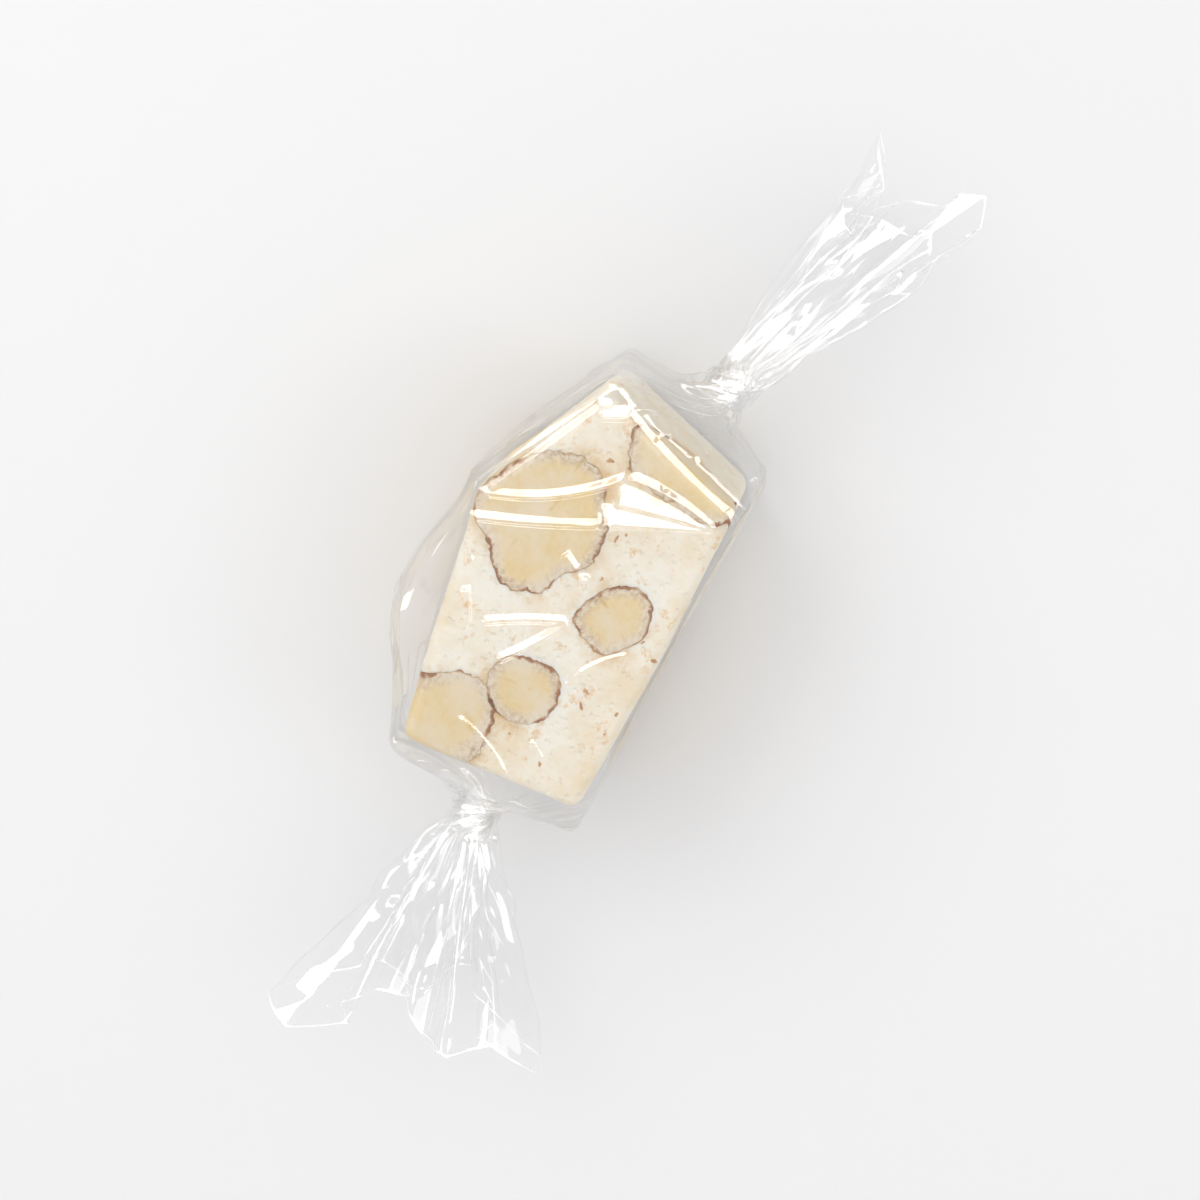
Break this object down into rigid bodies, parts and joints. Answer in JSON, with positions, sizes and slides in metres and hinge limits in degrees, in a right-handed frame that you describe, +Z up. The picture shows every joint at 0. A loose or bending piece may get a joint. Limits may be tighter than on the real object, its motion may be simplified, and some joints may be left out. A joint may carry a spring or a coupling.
{
  "type": "twist-wrapped nougat piece",
  "caption": "Short bar of almond nougat in a clear film wrapper twisted shut at both ends, lying on its side with its cut face up.",
  "frame": {"origin": "on the wrapper's flat underside, below the middle of the nougat bar", "axes": "+Z up out of the bar's cut face, +X along the bar to its gabled head end, +Y to the left of the head"},
  "size_m": [0.0931, 0.0327, 0.0184],
  "materials": {
    "nougat": "cream white chewy nougat, slightly waxy",
    "almond": "cut almond kernel, pale yellow with a thin brown skin",
    "film": "clear glossy cellophane film"
  },
  "bodies": {
    "root": {"nougat": "nougat", "almond_head_left": "almond", "almond_head_right": "almond", "almond_middle": "almond", "almond_tail": "almond", "almond_corner": "almond", "almond_left_side": "almond", "almond_right_side": "almond", "almond_under": "almond", "wrapper": "film"}
  },
  "joints": []
}
